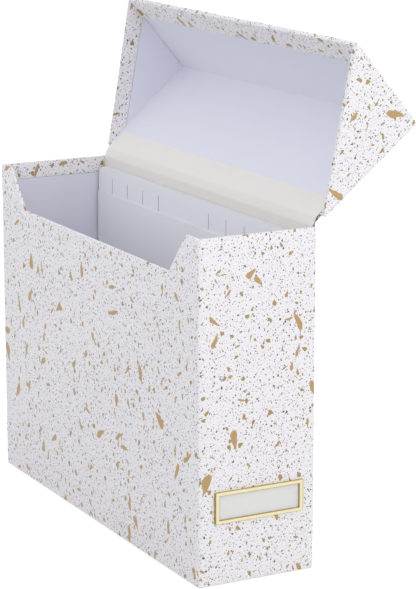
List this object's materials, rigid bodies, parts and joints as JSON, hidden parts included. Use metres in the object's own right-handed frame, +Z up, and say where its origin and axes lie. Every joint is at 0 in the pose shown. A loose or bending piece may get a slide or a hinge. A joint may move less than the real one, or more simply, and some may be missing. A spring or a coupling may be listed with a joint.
{
  "type": "box file",
  "caption": "Upright paper-covered board box file with a low front, a cloth-hinged wedge lid, a brass label holder and folded card folders inside.",
  "frame": {"origin": "centre of the box's underside, where it stands", "axes": "+Z up; +X along the long front towards the label holder's end; the low front faces -Y and the hinge is at the back, at +Y"},
  "size_m": [0.358, 0.1732, 0.3842],
  "materials": {
    "board": "bare grey pulp board",
    "cover_paper": "matt white covering paper with a fine gold-brown fleck",
    "lining_paper": "matt white paper",
    "hinge_cloth": "cream book cloth",
    "folder_card": "smooth white card",
    "label_brass": "bright stamped brass",
    "label_card": "plain pale grey card"
  },
  "bodies": {
    "box": {"body_board": "board", "body_cover": "cover_paper", "body_liner": "lining_paper", "base_sheet": "cover_paper", "hinge_strip": "cover_paper", "hinge_cloth": "hinge_cloth", "label_frame": "label_brass", "label_card": "label_card", "folder_1": "folder_card", "folder_2": "folder_card", "folder_3": "folder_card", "folder_4": "folder_card", "folder_5": "folder_card"},
    "lid": {"lid_board": "board", "lid_cover": "cover_paper", "lid_liner": "lining_paper"}
  },
  "joints": [
    {"name": "lid_hinge", "type": "hinge", "parent": "box", "child": "lid", "pos_m": [0, 0.0475, 0.2569], "axis": [1, 0, 0], "range_deg": [0, 140], "deforming": ["hinge_strip", "hinge_cloth"]}
  ]
}
